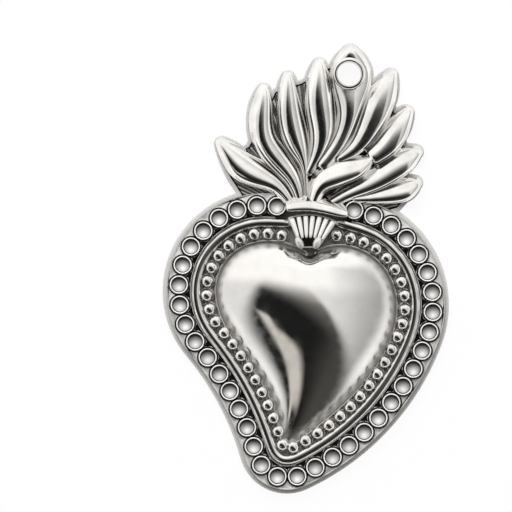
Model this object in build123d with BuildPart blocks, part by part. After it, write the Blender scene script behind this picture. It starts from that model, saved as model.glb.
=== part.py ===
from build123d import *
from math import atan2, cos, degrees, floor, radians, sin, sqrt
import os

# A flaming-heart charm in silver, built up by soldering shaped pieces on a sawn back plate.
# It lies face up: +Z leaves its face and +Y points up the flames to the hanging hole.
# Lengths are millimetres and angles are degrees.

os.makedirs("parts", exist_ok=True)

# The heart line, on which the border's cups stand: two lobes that start beside the collar and a
# round tip, joined by a hollow left flank and a full right flank
LEFT_END_X = -3.9
LEFT_END_Y = 8.25
LEFT_END_BEARING = 81.5
LEFT_LOBE_R = 11.1
LEFT_FLANK_R = 38.0
TIP_X = -2.6
TIP_Y = -22.8
TIP_R = 4.15
RIGHT_FLANK_R = 31.7
RIGHT_LOBE_R = 12.5
RIGHT_END_X = 6.1
RIGHT_END_Y = 7.75
RIGHT_END_BEARING = 79.5

# Border: dished cups between two scalloped rails, and the plain rim of plate outside them
CUP_R = 1.22
CUP_GAP = 0.16
CUP_H = 1.1
CUP_RIM = 0.18
CUP_SIDES = 10
DISH_DEPTH = 0.5
DISH_LIP = 0.08
SCALLOP_GAP = 0.1
RAIL_W = 0.23
RAIL_H = 0.75
RIM_W = 0.55

# Inside the border: a ridge wire and a row of beads
WIRE_SPACE = 0.2
WIRE_W = 0.8
WIRE_H = 0.85
WIRE_LEAD_IN = 0.9
WIRE_LEAD_OUT = 1.3
BEAD_SPACE = 0.41
BEAD_R = 0.66
BEAD_GAP = 0.5
BEAD_H = 0.95
BEAD_WAIST_H = 0.5
BEAD_TAPER = 42
BEAD_SIDES = 8
BEAD_LEAD_IN = 1.2
BEAD_LEAD_OUT = 1.65

# The puffed dome in its bezel, with its cleft measured from the collar and its crown from the cleft
BEZEL_SPACE = 0.49
BEZEL_W = 0.35
BEZEL_H = 0.5
BEZEL_GAP = 0.08
BEZEL_MITRE = 1.6
DOME_H = 4.3
DOME_FACETS = 16
CLEFT_DROP = 7.0
CLEFT_SHIFT = -0.8
CLEFT_FILL = 1.2
CROWN_DROP = 8.2
CROWN_SHIFT = -0.5

# Back plate, with its margin round the flames
PLATE_T = 1.2
FLAME_MARGIN = 0.65

# Collar, hung between the ends of the border: an arched lip over a fluted basket
LIP_GAP = 0.15
LIP_W = 0.85
LIP_H = 2.4
LIP_DROP = 0.4
LIP_ARCH = 0.75
LIP_EASE = 0.25
BASKET_DROP = 1.1
BASKET_SHIFT = -0.4
BASKET_DEPTH = 4.4
BASKET_FOOT_W = 2.4
BASKET_H = 1.4
BASKET_EASE = 0.2
RIB_COUNT = 7
RIB_HEAD_W = 0.7
RIB_FOOT_W = 0.26
RIB_H = 0.4
RIB_EASE = 0.08
RIB_SETBACK = 0.3

# Hanging hole through the tallest flame, measured from its tip, and the eyelet that lines it
HOLE_R = 1.55
HOLE_DROP = 3.4
HOLE_SHIFT = -0.15
EYELET_WALL = 0.25
EYELET_GAP = 0.03
EYELET_PROUD = 0.2

# Flames: stations from root to tip, each a place on the ridge line, measured from the middle of
# the collar, and half the width there
FLAME_BASE_H = 0.7
FLAME_SWELL = 0.4
FLAME_CREST = 0.25
FLAME_SHOULDER = 0.72
FRONT_LIFT = 0.5
FLAMES = {
    "flame_far_left": [
        (-3.2, 0.8, 0.35), (-4.7, 3.2, 0.75), (-7.1, 4.3, 1.3), (-9.5, 5.4, 1.7),
        (-11.3, 7.4, 1.1), (-12.4, 8.7, 0.35)],
    "flame_left": [
        (-2.1, 1.1, 0.28), (-2.6, 3.7, 0.7), (-4.7, 6.3, 1.2), (-6.7, 8.6, 1.2),
        (-7.2, 11.5, 1.2), (-6.9, 14.1, 1.0), (-6.7, 15.7, 0.35)],
    "flame_inner_left": [
        (-1.4, 5.6, 0.25), (-2.0, 7.4, 0.95), (-2.9, 9.8, 1.4), (-3.5, 12.5, 1.3),
        (-3.6, 15.0, 1.1), (-3.6, 17.3, 0.35)],
    "flame_centre": [
        (-1.0, 5.0, 0.25), (0.2, 7.4, 0.65), (0.9, 9.8, 1.3), (0.6, 12.5, 1.6),
        (0.3, 15.1, 1.45), (0.4, 17.2, 1.15), (0.5, 19.0, 0.4)],
    "flame_tall": [
        (0.7, 5.9, 0.6), (2.9, 8.6, 0.8), (4.0, 11.2, 0.95), (4.4, 13.4, 1.45),
        (4.5, 15.9, 2.3), (4.5, 18.2, 2.3), (4.5, 20.1, 1.3), (4.5, 20.8, 0.5)],
    "flame_inner_right": [
        (3.1, 6.8, 0.28), (5.3, 8.1, 0.85), (6.8, 10.8, 1.35), (7.9, 13.3, 1.7),
        (9.0, 15.6, 1.4), (9.9, 17.6, 0.4)],
    "flame_right": [
        (7.4, 7.1, 0.95), (8.9, 8.2, 1.3), (10.1, 9.8, 1.35), (11.0, 11.2, 1.15),
        (12.0, 12.8, 0.45)],
    "flame_low_right": [
        (2.2, 1.1, 0.45), (4.1, 2.3, 0.62), (7.1, 3.5, 0.95), (9.2, 4.8, 1.2),
        (11.3, 6.3, 1.3), (12.7, 7.2, 0.8), (13.4, 7.5, 0.35)],
    "flame_far_right": [
        (5.4, 1.5, 0.2), (6.6, 1.6, 0.42), (9.3, 2.0, 0.88), (11.5, 2.5, 1.15),
        (12.7, 3.2, 0.8), (13.3, 3.5, 0.35)],
    "flame_front": [
        (-0.4, 1.0, 0.45), (0.0, 2.8, 0.85), (1.3, 4.2, 1.4), (3.3, 5.0, 1.35),
        (5.4, 5.5, 1.1), (6.7, 6.3, 0.65), (7.3, 6.7, 0.25)],
}
TALL_FLAME = "flame_tall"
FRONT_FLAME = "flame_front"

# The sheet between the flames, from notch to notch, measured from the middle of the collar
CREST_WEB = [
    (-10.2, 1.7), (-11.5, 3.7), (-12.6, 6.0), (-9.0, 8.4), (-5.6, 15.5), (-2.0, 16.7), (1.8, 18.8),
    (7.4, 16.8), (10.5, 13.3), (11.9, 8.6), (12.2, 4.3), (12.5, 1.3), (10.9, -0.4), (-1.1, -4.0)]

# Shares of the heart line's length where the dome's edge is set out, left and right of the tip,
# and the scales of the dome's levels
DOME_LEFT_SHARES = (0.0, 0.09, 0.18, 0.27, 0.37)
DOME_RIGHT_SHARES = (0.57, 0.67, 0.78, 0.89, 1.0)
DOME_SCALES = (1.0, 0.88, 0.65, 0.38, 0.14)

# Distances from the heart line, each counted on from the piece before it
RAIL_REACH = CUP_R + SCALLOP_GAP + RAIL_W
EDGE_REACH = RAIL_REACH + RIM_W
WIRE_INSET = RAIL_REACH + WIRE_SPACE + WIRE_W / 2
BEAD_INSET = WIRE_INSET + WIRE_W / 2 + BEAD_SPACE + BEAD_R
DOME_INSET = BEAD_INSET + BEAD_R + BEZEL_SPACE + BEZEL_W + BEZEL_GAP

UP = Vector(0, 0, 1)


def finish(piece, name):
    """Label a finished piece and write it as its own file."""
    piece.part.label = name
    export_step(piece.part, f"parts/{name}.step")


def polar(length, bearing):
    """A step of a length in the direction of a bearing."""
    return Vector(length * cos(radians(bearing)), length * sin(radians(bearing)))


def bearing_of(step):
    """The bearing of a step."""
    return degrees(atan2(step.Y, step.X))


def meeting_point(a, a_distance, b, b_distance):
    """The point at set distances from a and from b, on the right of the way from a to b."""
    way = b - a
    along = (a_distance**2 - b_distance**2 + way.length**2) / (2 * way.length)
    aside = sqrt(a_distance**2 - along**2)
    ahead = way.normalized()
    return a + ahead * along + Vector(ahead.Y, -ahead.X) * aside


# Centres of the heart line's five arcs, with the flanks tangent to the lobes and the tip
left_end = Vector(LEFT_END_X, LEFT_END_Y)
right_end = Vector(RIGHT_END_X, RIGHT_END_Y)
left_lobe = left_end - polar(LEFT_LOBE_R, LEFT_END_BEARING)
right_lobe = right_end - polar(RIGHT_LOBE_R, RIGHT_END_BEARING)
tip = Vector(TIP_X, TIP_Y)
left_flank = meeting_point(left_lobe, LEFT_FLANK_R + LEFT_LOBE_R, tip, LEFT_FLANK_R + TIP_R)
right_flank = meeting_point(right_lobe, RIGHT_FLANK_R - RIGHT_LOBE_R, tip, RIGHT_FLANK_R - TIP_R)

# Bearings at which the arcs meet
left_lobe_meets = bearing_of(left_flank - left_lobe)
left_tip_meets = bearing_of(left_flank - tip)
right_tip_meets = bearing_of(tip - right_flank)
right_lobe_meets = bearing_of(right_lobe - right_flank)


def heart_line(inset, lead_in=0.0, lead_out=0.0):
    """The heart line drawn at a distance inside itself, with straight leads at its two ends."""
    begin = left_lobe + polar(LEFT_LOBE_R - inset, LEFT_END_BEARING)
    end = right_lobe + polar(RIGHT_LOBE_R - inset, RIGHT_END_BEARING)
    left_lobe_turn = (left_lobe_meets - LEFT_END_BEARING) % 360
    left_flank_turn = -((left_lobe_meets - left_tip_meets) % 360)
    tip_turn = (right_tip_meets - left_tip_meets) % 360
    right_flank_turn = (right_lobe_meets - right_tip_meets) % 360
    right_lobe_turn = (RIGHT_END_BEARING - right_lobe_meets) % 360
    with BuildLine() as line:
        if lead_in:
            Line(begin - polar(lead_in, LEFT_END_BEARING + 90), begin)
        CenterArc(left_lobe, LEFT_LOBE_R - inset, LEFT_END_BEARING, left_lobe_turn)
        CenterArc(left_flank, LEFT_FLANK_R + inset, left_lobe_meets + 180, left_flank_turn)
        CenterArc(tip, TIP_R - inset, left_tip_meets, tip_turn)
        CenterArc(right_flank, RIGHT_FLANK_R - inset, right_tip_meets, right_flank_turn)
        CenterArc(right_lobe, RIGHT_LOBE_R - inset, right_lobe_meets, right_lobe_turn)
        if lead_out:
            Line(end, end + polar(lead_out, RIGHT_END_BEARING + 90))
    return Wire(line.edges())


def heart_point(share, inset):
    """The point at a share of the heart line's length, moved inwards."""
    heading = heart % share
    return heart @ share + Vector(-heading.Y, heading.X) * inset


def spread(line, step):
    """Points along a line, from end to end, at least a step apart."""
    count = floor(line.length / step)
    return [line @ (i / count) for i in range(count + 1)]


def heart_band(inset):
    """The strip of the border between the heart line and a line beside it."""
    side = heart_line(inset)
    with BuildSketch() as strip:
        with BuildLine():
            add(heart)
            add(side)
            Line(heart @ 0, side @ 0)
            Line(heart @ 1, side @ 1)
        make_face()
    return strip.sketch


def flame_frames(stations):
    """At each station of a flame: its place, its heading, its left side and half its width."""
    places = [collar + Vector(x, y) for x, y, _ in stations]
    last = len(places) - 1
    frames = []
    for i, (_, _, half) in enumerate(stations):
        heading = (places[min(i + 1, last)] - places[max(i - 1, 0)]).normalized()
        frames.append((places[i], heading, Vector(-heading.Y, heading.X), half))
    return frames


def flame_pad(stations):
    """The tongue of plate under a flame, wider than the flame by the margin."""
    frames = flame_frames(stations)
    left = [place + side * (half + FLAME_MARGIN) for place, _, side, half in frames]
    right = [place - side * (half + FLAME_MARGIN) for place, _, side, half in frames]
    place, heading, _, _ = frames[-1]
    with BuildSketch() as pad:
        with BuildLine():
            Spline(*left)
            ThreePointArc(left[-1], place + heading * FLAME_MARGIN, right[-1])
            Spline(*right)
            Line(left[0], right[0])
        make_face()
    return pad.sketch


def dome_outline(scale=1.0, grow=0.0):
    """The dome's edge grown outwards, or a higher level: a smaller heart with a shallower cleft."""
    cleft = dome_cleft + Vector(0, grow + CLEFT_FILL * (1 - scale) / scale)
    point = tip + (collar - tip).normalized() * (DOME_INSET - TIP_R - BEZEL_MITRE * grow)
    left = [cleft] + [heart_point(share, DOME_INSET - grow) for share in DOME_LEFT_SHARES] + [point]
    right = [point] + [heart_point(share, DOME_INSET - grow) for share in DOME_RIGHT_SHARES] + [cleft]
    with BuildSketch() as outline:
        with BuildLine(mode=Mode.PRIVATE):
            sides = [Spline(*[dome_crown + (place - dome_crown) * scale for place in side])
                     for side in (left, right)]
        with BuildLine():
            Polyline(*[side @ (i / DOME_FACETS) for side in sides for i in range(DOME_FACETS)], close=True)
        make_face()
    return outline.sketch


# Places that several pieces share
seat = Plane.XY.offset(PLATE_T)
heart = heart_line(0)
cup_places = spread(heart, 2 * CUP_R + CUP_GAP)
bead_places = spread(heart_line(BEAD_INSET, BEAD_LEAD_IN, BEAD_LEAD_OUT), 2 * BEAD_R + BEAD_GAP)
collar = (left_end + right_end) / 2
dome_cleft = collar + Vector(CLEFT_SHIFT, -CLEFT_DROP)
dome_crown = dome_cleft + Vector(CROWN_SHIFT, -CROWN_DROP)
tall_x, tall_y, _ = FLAMES[TALL_FLAME][-1]
hole = collar + Vector(tall_x + HOLE_SHIFT, tall_y - HOLE_DROP)

# Heights of the flames before they swell, and the eyelet, which stands just proud of the tall one
flame_rise = {name: FLAME_BASE_H for name in FLAMES}
flame_rise[FRONT_FLAME] += FRONT_LIFT
tall_half = max(half for _, _, half in FLAMES[TALL_FLAME])
eyelet_r = HOLE_R + EYELET_WALL
eyelet_h = PLATE_T + flame_rise[TALL_FLAME] + FLAME_SWELL * tall_half + EYELET_PROUD

# Back plate: the heart, the web and a tongue under every flame, sawn as one sheet
edge = heart_line(-EDGE_REACH)
with BuildPart() as back_plate:
    with BuildSketch() as silhouette:
        with BuildLine():
            add(edge)
            Line(edge @ 0, edge @ 1)
        make_face()
        with BuildLine():
            Polyline(*[collar + Vector(x, y) for x, y in CREST_WEB], close=True)
        make_face()
        for stations in FLAMES.values():
            add(flame_pad(stations))
    with BuildSketch():
        make_face(silhouette.face().outer_wire())
    extrude(amount=PLATE_T)
    with Locations(hole):
        Cylinder(eyelet_r + EYELET_GAP, 2 * eyelet_h, mode=Mode.SUBTRACT)
finish(back_plate, "back_plate")

# Border rails: two strips, cut out round every cup
for name, inset in (("border_outer_rail", -RAIL_REACH), ("border_inner_rail", RAIL_REACH)):
    with BuildPart() as rail:
        with BuildSketch(seat):
            add(heart_band(inset))
            with Locations(*cup_places):
                RegularPolygon(CUP_R + SCALLOP_GAP, CUP_SIDES, major_radius=False, mode=Mode.SUBTRACT)
        extrude(amount=RAIL_H)
    finish(rail, name)

# Border cups: small drums with a dished top
with BuildPart() as cup:
    with BuildSketch(seat):
        RegularPolygon(CUP_R, CUP_SIDES)
    extrude(amount=CUP_H)
    with BuildSketch(seat.offset(CUP_H)):
        RegularPolygon(CUP_R - CUP_RIM, CUP_SIDES)
    extrude(amount=-DISH_DEPTH, mode=Mode.SUBTRACT)
    dish_floor = cup.faces().filter_by(Axis.Z).sort_by(Axis.Z)[1]
    chamfer(dish_floor.edges(), DISH_DEPTH - DISH_LIP)
with BuildPart() as border_cups:
    with Locations(*cup_places):
        add(cup.part)
finish(border_cups, "border_cups")

# Ridge wire: a rounded wire between the border and the beads
wire_line = heart_line(WIRE_INSET, WIRE_LEAD_IN, WIRE_LEAD_OUT).moved(Location(UP * PLATE_T))
with BuildPart() as ridge_wire:
    with BuildLine():
        add(wire_line)
    with BuildSketch(Plane(wire_line @ 0, x_dir=UP, z_dir=wire_line % 0)):
        with BuildLine():
            Polyline(
                (0, -WIRE_W / 2), (WIRE_H / 2, -WIRE_W / 2), (WIRE_H, -WIRE_W / 4),
                (WIRE_H, WIRE_W / 4), (WIRE_H / 2, WIRE_W / 2), (0, WIRE_W / 2), close=True)
        make_face()
    sweep()
finish(ridge_wire, "ridge_wire")

# Beads: round granules with flat seats
with BuildPart() as bead:
    with BuildSketch(seat):
        RegularPolygon(BEAD_R, BEAD_SIDES)
    extrude(amount=BEAD_WAIST_H)
    extrude(bead.faces().sort_by(Axis.Z)[-1], amount=BEAD_H - BEAD_WAIST_H, taper=BEAD_TAPER)
with BuildPart() as granule_beads:
    with Locations(*bead_places):
        add(bead.part)
finish(granule_beads, "granule_beads")

# Dome: the puffed heart, a loft through ever smaller hearts
with BuildPart() as heart_dome:
    for scale in DOME_SCALES:
        with BuildSketch(seat.offset(DOME_H * (1 - scale**2) ** 0.75)):
            add(dome_outline(scale))
    loft()
finish(heart_dome, "heart_dome")

# Bezel: the thin strip round the foot of the dome
with BuildPart() as dome_bezel:
    with BuildSketch(seat):
        add(dome_outline(grow=BEZEL_GAP + BEZEL_W))
        add(dome_outline(grow=BEZEL_GAP), mode=Mode.SUBTRACT)
    extrude(amount=BEZEL_H)
finish(dome_bezel, "dome_bezel")

# Collar lip: an arched bar with round ends, from the first cup to the last
lip_reach = CUP_R + LIP_GAP + LIP_W / 2
lip_left = left_end + Vector(lip_reach, -LIP_DROP)
lip_right = right_end + Vector(-lip_reach, -LIP_DROP)
arch = Vector(0, LIP_ARCH)
with BuildPart() as collar_lip:
    with BuildSketch(seat):
        SlotArc(ThreePointArc(lip_left, (lip_left + lip_right) / 2 + arch, lip_right), LIP_W)
    extrude(amount=LIP_H)
    chamfer(collar_lip.faces().sort_by(Axis.Z)[-1].edges(), LIP_EASE)
finish(collar_lip, "collar_lip")

# Collar basket: the fan-shaped block that the ribs lie on
brow_left = lip_left + Vector(BASKET_SHIFT, -BASKET_DROP)
brow_right = lip_right + Vector(BASKET_SHIFT, -BASKET_DROP)
brow_middle = (brow_left + brow_right) / 2 + arch
foot_left = Vector(dome_cleft.X - BASKET_FOOT_W / 2, brow_middle.Y - BASKET_DEPTH)
foot_right = Vector(dome_cleft.X + BASKET_FOOT_W / 2, brow_middle.Y - BASKET_DEPTH)
with BuildPart() as collar_basket:
    with BuildSketch(seat):
        with BuildLine():
            brow = ThreePointArc(brow_left, brow_middle, brow_right)
            foot = Line(foot_left, foot_right)
            Line(brow_left, foot_left)
            Line(brow_right, foot_right)
        make_face()
    extrude(amount=BASKET_H)
    chamfer(collar_basket.faces().sort_by(Axis.Z)[-1].edges(), BASKET_EASE)
finish(collar_basket, "collar_basket")

# Collar ribs: tapering flutes, fanned out over the basket
with BuildPart() as collar_ribs:
    with BuildSketch(seat.offset(BASKET_H)):
        for i in range(RIB_COUNT):
            share = (i + 0.5) / RIB_COUNT
            along = (foot @ share - brow @ share).normalized()
            across = Vector(-along.Y, along.X)
            rib_head = brow @ share + along * RIB_SETBACK
            rib_foot = foot @ share - along * RIB_SETBACK
            with BuildLine():
                Polyline(
                    rib_head - across * RIB_HEAD_W / 2, rib_foot - across * RIB_FOOT_W / 2,
                    rib_foot + across * RIB_FOOT_W / 2, rib_head + across * RIB_HEAD_W / 2, close=True)
            make_face()
    extrude(amount=RIB_H)
    chamfer(collar_ribs.faces().group_by(Axis.Z)[-1].edges(), RIB_EASE)
finish(collar_ribs, "collar_ribs")

# Flames: leaf-like tongues with a rounded back, lofted along their ridge lines
for name, stations in FLAMES.items():
    with BuildPart() as flame:
        for place, heading, side, half in flame_frames(stations):
            rise = flame_rise[name] + FLAME_SWELL * half
            with BuildSketch(Plane(place + UP * PLATE_T, x_dir=side, z_dir=heading)):
                with BuildLine():
                    Polyline(
                        (-half, 0), (-half * FLAME_SHOULDER, rise * FLAME_SHOULDER),
                        (-half * FLAME_CREST, rise), (half * FLAME_CREST, rise),
                        (half * FLAME_SHOULDER, rise * FLAME_SHOULDER), (half, 0), close=True)
                make_face()
        loft(ruled=True)
        if name == TALL_FLAME:
            with Locations(hole):
                Cylinder(eyelet_r + EYELET_GAP, 2 * eyelet_h, mode=Mode.SUBTRACT)
    finish(flame, name)

# Eyelet: the tube that lines the hanging hole
with BuildPart() as hanging_eyelet:
    with BuildSketch():
        with Locations(hole):
            Circle(eyelet_r)
            Circle(HOLE_R, mode=Mode.SUBTRACT)
    extrude(amount=eyelet_h)
finish(hanging_eyelet, "hanging_eyelet")

print("cups", len(cup_places), "beads", len(bead_places))
print("hole", hole, "eyelet length", round(eyelet_h, 3))
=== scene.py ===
# %% [markdown]
# # A milagro charm in antiqued silver
#
# A milagro is a small votive charm. This one is a puffed heart inside a border of
# little dished cups, with ten tongues of flame rising from its cleft. We start from
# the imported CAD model, and every piece is worked further or modelled again over its CAD
# node. So the looks can be as fine as we like, while the mounts and the collision
# shapes of the library part stay true.

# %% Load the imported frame
import math
import bmesh
import bpy
from mathutils import Matrix, Vector


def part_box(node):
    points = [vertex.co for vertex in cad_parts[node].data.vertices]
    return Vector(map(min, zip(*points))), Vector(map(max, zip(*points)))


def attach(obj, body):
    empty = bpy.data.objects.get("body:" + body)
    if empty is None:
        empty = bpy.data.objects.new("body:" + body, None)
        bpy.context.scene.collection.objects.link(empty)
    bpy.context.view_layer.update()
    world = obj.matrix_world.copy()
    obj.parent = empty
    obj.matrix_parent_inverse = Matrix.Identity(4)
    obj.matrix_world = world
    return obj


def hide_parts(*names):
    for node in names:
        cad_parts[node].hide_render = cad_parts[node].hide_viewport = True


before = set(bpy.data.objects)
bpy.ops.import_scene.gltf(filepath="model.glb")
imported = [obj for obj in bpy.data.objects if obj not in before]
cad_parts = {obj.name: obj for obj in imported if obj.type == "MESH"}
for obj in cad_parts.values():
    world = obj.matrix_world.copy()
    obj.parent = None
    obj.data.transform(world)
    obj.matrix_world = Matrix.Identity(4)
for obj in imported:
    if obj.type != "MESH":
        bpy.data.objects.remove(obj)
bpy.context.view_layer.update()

MM = 0.001
UP = Vector((0, 0, 1))
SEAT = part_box("back_plate")[1][2]
print("nodes:", len(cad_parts), "plate top at", round(SEAT / MM, 2), "mm")

# %% [markdown]
# ## Node helpers
#
# A finish is a graph of shader nodes. A graph that is wired by hand is hard to read
# later, so a few helpers write it like arithmetic: `put` adds a node and fills its
# sockets, `calc` and `times` are Math nodes, `ease` and `fade` are soft steps up and
# down, and `blend` mixes two colours.

# %% Node helpers
GREEN_SHARE = 0.4


def put(tree, kind, sockets=None, **settings):
    """Adds a node; sockets take either a value or another node's output."""
    node = tree.nodes.new(kind)
    for key, value in settings.items():
        setattr(node, key, value)
    for key, value in (sockets or {}).items():
        if isinstance(value, bpy.types.NodeSocket):
            tree.links.new(value, node.inputs[key])
        else:
            node.inputs[key].default_value = value
    return node


def calc(tree, operation, *values):
    """A Math node's result."""
    return put(tree, "ShaderNodeMath", dict(enumerate(values)), operation=operation).outputs[0]


def times(tree, first, *others):
    """All the values multiplied together."""
    for other in others:
        first = calc(tree, "MULTIPLY", first, other)
    return first


def ease(tree, value, start, end, low=0.0, high=1.0):
    """A soft step: low before start, high after end."""
    sockets = {"Value": value, "From Min": start, "From Max": end, "To Min": low, "To Max": high}
    return put(tree, "ShaderNodeMapRange", sockets, interpolation_type="SMOOTHSTEP").outputs[0]


def fade(tree, value, start, end):
    """A soft step down: 1 before start, 0 after end."""
    return ease(tree, value, start, end, 1.0, 0.0)


def blend(tree, factor, a, b):
    """A colour between a and b."""
    return put(tree, "ShaderNodeMix", {0: factor, 6: a, 7: b}, data_type="RGBA").outputs[2]


def noise(tree, place, scale, detail):
    """A cloudy value between 0 and 1."""
    sockets = {"Vector": place, "Scale": scale, "Detail": detail}
    return put(tree, "ShaderNodeTexNoise", sockets).outputs["Fac"]


def grey(level, warmth=0.0):
    """A silver tone: warmth lowers the blue, and the green by a share of that."""
    return (level, level * (1 - warmth * GREEN_SHARE), level * (1 - warmth), 1.0)


print("a warm grey:", grey(0.5, 0.1))

# %% [markdown]
# ## One function for every silver finish
#
# Antiqued silver is blackened all over with liver of sulphur and then rubbed: what
# stands high turns bright, and the crevices stay dark. A painted texture could show
# that, but it would have to be painted again for each piece. Here the colour follows
# the height above the plate instead, with a ragged edge from a noise, and the roughness
# and the fine relief follow the colour. Two extras: chased lines that fan out behind
# the fire, and painted shade and light, read from a value stored on the piece itself.

# %% A silver finish
CLOUD_SCALE = 420.0
CLOUD_DETAIL = 5.0
GRAIN_DETAIL = 3.0
RAGGED = 0.5
WORN_SPOTS = (0.35, 0.75)
WORN_SHARE = 0.25
DULL_SPOTS = (0.3, 0.7)
SMOOTHER = -0.3
ROUGHER = 0.5
FAN_X = 1.1
FAN_Y = 6.0
FAN_LINES = 150.0
FAN_EDGE = (0.1, 0.8)
FAN_REACH = 2.0
FAN_DARK = grey(0.1, 0.1)


def new_finish(name):
    """An empty material, with its tree and its surface socket."""
    material = bpy.data.materials.new(name)
    material.use_nodes = True
    material.node_tree.nodes.clear()
    out = material.node_tree.nodes.new("ShaderNodeOutputMaterial")
    return material, material.node_tree, out.inputs["Surface"]


def chased_lines(tree, axes, cloud):
    """Fine lines that fan out behind the fire, and how far a place belongs to that ground."""
    from_x = calc(tree, "SUBTRACT", axes["X"], FAN_X * MM)
    from_y = calc(tree, "SUBTRACT", axes["Y"], FAN_Y * MM)
    angle = calc(tree, "ARCTAN2", from_x, from_y)
    wave = calc(tree, "SINE", calc(tree, "MULTIPLY_ADD", angle, FAN_LINES, cloud))
    lines = times(tree, ease(tree, wave, *FAN_EDGE), ease(tree, from_y, 0.0, FAN_REACH * MM))
    return lines, ease(tree, from_y, -0.5 * FAN_REACH * MM, FAN_REACH * MM)


def silver(name, tone, dark, rough, grain, depth, stain=None, metal=1.0, crust=0.3, chased=False):
    """Silver that goes from dark to tone between the two heights of stain, or from painted shade to painted
    light by a stored attribute.
    """
    material, tree, surface = new_finish(name)
    place = put(tree, "ShaderNodeTexCoord").outputs["Object"]
    axes = put(tree, "ShaderNodeSeparateXYZ", {"Vector": place}).outputs
    cloud = noise(tree, place, CLOUD_SCALE, CLOUD_DETAIL)
    fine = noise(tree, place, grain, GRAIN_DETAIL)
    if stain:
        ragged = calc(tree, "MULTIPLY_ADD", calc(tree, "SUBTRACT", cloud, 0.5), RAGGED * MM, axes["Z"])
        clean_and_lit = ease(tree, ragged, *(SEAT + height * MM for height in stain))
    else:
        # Without stain heights the colour follows a stored value of painted light: dark is painted shade,
        # tone is painted light.
        clean_and_lit = put(tree, "ShaderNodeAttribute", attribute_name="painted_light").outputs["Fac"]
    if chased:
        lines, behind_fire = chased_lines(tree, axes, cloud)
        clean_and_lit = calc(tree, "MAXIMUM", clean_and_lit, lines)
        fine = calc(tree, "MAXIMUM", fine, clean_and_lit)
        dark = blend(tree, behind_fire, dark, FAN_DARK)
    colour = blend(tree, clean_and_lit, dark, tone)
    worn = blend(tree, ease(tree, cloud, *WORN_SPOTS, 0.0, WORN_SHARE), colour, dark)
    dull = calc(tree, "MULTIPLY_ADD", clean_and_lit, -crust, crust + rough)
    uneven = calc(tree, "ADD", dull, ease(tree, fine, *DULL_SPOTS, SMOOTHER * rough, ROUGHER * rough))
    relief = put(tree, "ShaderNodeBump", {"Height": fine, "Distance": depth * MM, "Strength": 1.0})
    shader = put(tree, "ShaderNodeBsdfPrincipled", {
        "Base Color": worn, "Metallic": metal, "Roughness": uneven, "Normal": relief.outputs[0]})
    tree.links.new(shader.outputs[0], surface)
    print("finish", name, "with", len(tree.nodes), "nodes")
    return material


print("chased lines every", round(360 / FAN_LINES, 2), "degrees")

# %% [markdown]
# ## From CAD node to finished piece
#
# A CAD node arrives as loose triangles. `cad_copy` merges a copy of them, so that mesh
# operators can work on whole faces, and leaves the node itself alone. `make` turns a
# finished bmesh into the object that stands for the node. It turns all faces outwards,
# since spinning and sweeping can leave a shape inside out.

# %% Piece helpers
MERGE = 0.001
FLAT_ANGLE = 0.01
LOOKS_UP = 0.9


def cad_copy(node, flat=False):
    """A CAD node's mesh with its loose triangles merged, or its flat faces made whole, as a bmesh."""
    bm = bmesh.new()
    bm.from_mesh(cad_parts[node].data)
    bm.transform(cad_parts[node].matrix_world)
    bmesh.ops.remove_doubles(bm, verts=bm.verts, dist=MERGE * MM)
    if flat:
        bmesh.ops.dissolve_limit(bm, angle_limit=FLAT_ANGLE, verts=bm.verts, edges=bm.edges)
    return bm


def top_faces(bm):
    """The faces that look straight up."""
    return [face for face in bm.faces if face.normal.z > LOOKS_UP]


def inset(bm, faces, width, drop=0.0):
    """Insets a region of faces, sinks it by a drop, and gives the new strip round it."""
    return bmesh.ops.inset_region(bm, faces=faces, thickness=width * MM, depth=-drop * MM,
                                  use_boundary=True, use_even_offset=True)["faces"]


def paint(faces, finish_number):
    """Gives faces one of their piece's finishes, counted from 0."""
    for face in faces:
        face.material_index = finish_number


def make(name, bm, node, slot, *finishes, smoothing=0):
    """Turns a bmesh into a piece that stands for a CAD node."""
    bmesh.ops.recalc_face_normals(bm, faces=bm.faces)
    for face in bm.faces:
        face.smooth = True
    mesh = bpy.data.meshes.new(name)
    bm.to_mesh(mesh)
    bm.free()
    for finish in finishes:
        mesh.materials.append(finish)
    piece = bpy.data.objects.new(name, mesh)
    bpy.context.scene.collection.objects.link(piece)
    if smoothing:
        rounder = piece.modifiers.new("rounder", "SUBSURF")
        rounder.levels = rounder.render_levels = smoothing
    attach(piece, "root")
    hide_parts(node)
    print(name, len(mesh.polygons), "faces")
    return piece


print("corners closer than", MERGE, "mm are merged")

# %% [markdown]
# ## The back plate
#
# The plate is sawn from sheet and carries everything else. Its outline comes from the
# CAD node, because drawing it again would only add error. The top is inset once, for
# the plain satin rim that shows all round, and once more while it sinks: that strip is
# the dark line inside the rim, and what lies within it is the oxidised ground.

# %% The back plate
RIM_SHOWN = 0.55
LINE_WIDTH = 0.2
GROUND_DROP = 0.15
EDGE_EASE = 0.12
EDGE_ANGLE = 1.2
EDGE_STEPS = 2
CLOSE = 0.01

satin = silver("satin_silver", grey(0.62, 0.03), grey(0.55, 0.05), rough=0.38, grain=6000.0, depth=0.003,
               stain=(-1.3, -0.9), metal=0.1)
ground = silver("oxidised_silver", grey(0.75, 0.05), grey(0.28, 0.1), rough=0.4, grain=2600.0, depth=0.04,
                stain=(-0.2, 0.5), metal=0.4, chased=True)
# This black finish is painted shade in the cups' grooves, round the cups and on the basket's top; it also
# blackens the plate's line and the inner rail's hollow.
black = silver("black_silver_and_painted_shade", grey(0.06, 0.1), grey(0.01), rough=0.45, grain=2600.0, depth=0.01,
               stain=(0.0, 1.0))

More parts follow.
